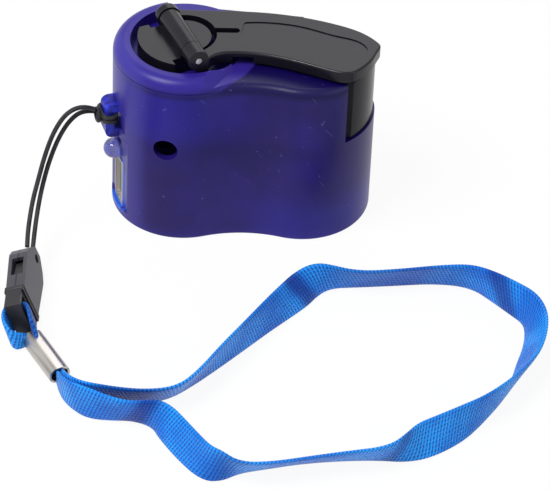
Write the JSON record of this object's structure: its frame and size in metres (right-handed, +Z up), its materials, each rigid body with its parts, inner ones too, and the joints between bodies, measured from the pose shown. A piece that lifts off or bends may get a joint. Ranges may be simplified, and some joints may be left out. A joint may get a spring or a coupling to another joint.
{
  "type": "hand crank phone charger",
  "caption": "Pocket hand crank charger: bean-shaped housing with a fold-flat crank on top, a USB socket on its end, and a wrist lanyard with a buckle.",
  "frame": {"origin": "on the crank axis, at the plane of the base that the charger stands on", "axes": "+Z up along the crank axis, +X along the bean-shaped housing from the crank towards the folded grip, -Y towards the hollow waist at the front"},
  "size_m": [0.124, 0.1159, 0.0522],
  "materials": {
    "shell": "translucent frosted",
    "crank": "satin",
    "steel": "satin",
    "white_plastic": "satin",
    "black_plastic": "satin",
    "board_grey": "matt",
    "iron": "machined",
    "brass": "machined",
    "board_green": "satin",
    "clear_plastic": "clear",
    "cord": "braided",
    "buckle": "satin",
    "webbing": "woven",
    "nickel": "satin"
  },
  "bodies": {
    "housing": {"front_shell": "shell", "rear_shell": "shell", "shell_screws": "steel", "gear_plate": "board_grey", "generator_can": "steel", "generator_cap": "white_plastic", "idler_axle_one": "steel", "idler_axle_two": "steel", "usb_shell": "steel", "usb_tongue": "white_plastic", "circuit_board": "board_green", "led": "clear_plastic", "led_leads": "steel", "dc_socket": "black_plastic", "cord_strand_one": "cord", "cord_strand_two": "cord", "cord_hitch": "cord", "buckle_socket": "buckle"},
    "crank": {"crank_hub": "crank", "drive_gear": "white_plastic", "hinge_pin": "steel"},
    "arm": {"crank_arm": "crank", "grip_pin": "steel"},
    "grip": {"crank_grip": "crank"},
    "idler_one": {"idler_gear_one": "white_plastic"},
    "idler_two": {"idler_gear_two": "white_plastic"},
    "rotor": {"generator_rotor": "iron", "generator_pinion": "brass"},
    "strap_side": {"buckle_plug": "buckle", "wrist_strap": "webbing", "strap_ferrule": "nickel", "strap_gather": "webbing"}
  },
  "joints": [
    {"name": "crank_turn", "type": "hinge", "parent": "housing", "child": "crank", "pos_m": [0, 0, 0.0478], "axis": [0, 0, 1], "range_deg": [0, 325]},
    {"name": "arm_fold", "type": "hinge", "parent": "crank", "child": "arm", "pos_m": [-0.00157, -0.00065, 0.0494], "axis": [0.3843, -0.9232, 0], "range_deg": [0, 180]},
    {"name": "grip_spin", "type": "hinge", "parent": "arm", "child": "grip", "pos_m": [0.0382, -0.005, 0.0282], "axis": [0, 0, 1], "continuous": true},
    {"name": "idler_one_spin", "type": "hinge", "parent": "housing", "child": "idler_one", "pos_m": [0.01401, 0.00375, 0.034], "axis": [0, 0, 1], "continuous": true},
    {"name": "idler_two_spin", "type": "hinge", "parent": "housing", "child": "idler_two", "pos_m": [0.02108, -0.00467, 0.0306], "axis": [0, 0, 1], "continuous": true},
    {"name": "rotor_spin", "type": "hinge", "parent": "housing", "child": "rotor", "pos_m": [0.02354, 0.0045, 0.0243], "axis": [0, 0, 1], "continuous": true},
    {"name": "buckle_release", "type": "slide", "parent": "housing", "child": "strap_side", "axis": [-0.0523, -0.9986, 0], "range_m": [0, 0.012]}
  ],
  "couplings": [
    {"joint": "idler_one_spin", "follows": "crank_turn", "ratio": -3.1429},
    {"joint": "idler_two_spin", "follows": "crank_turn", "ratio": 6.7347},
    {"joint": "rotor_spin", "follows": "crank_turn", "ratio": -11.545}
  ]
}
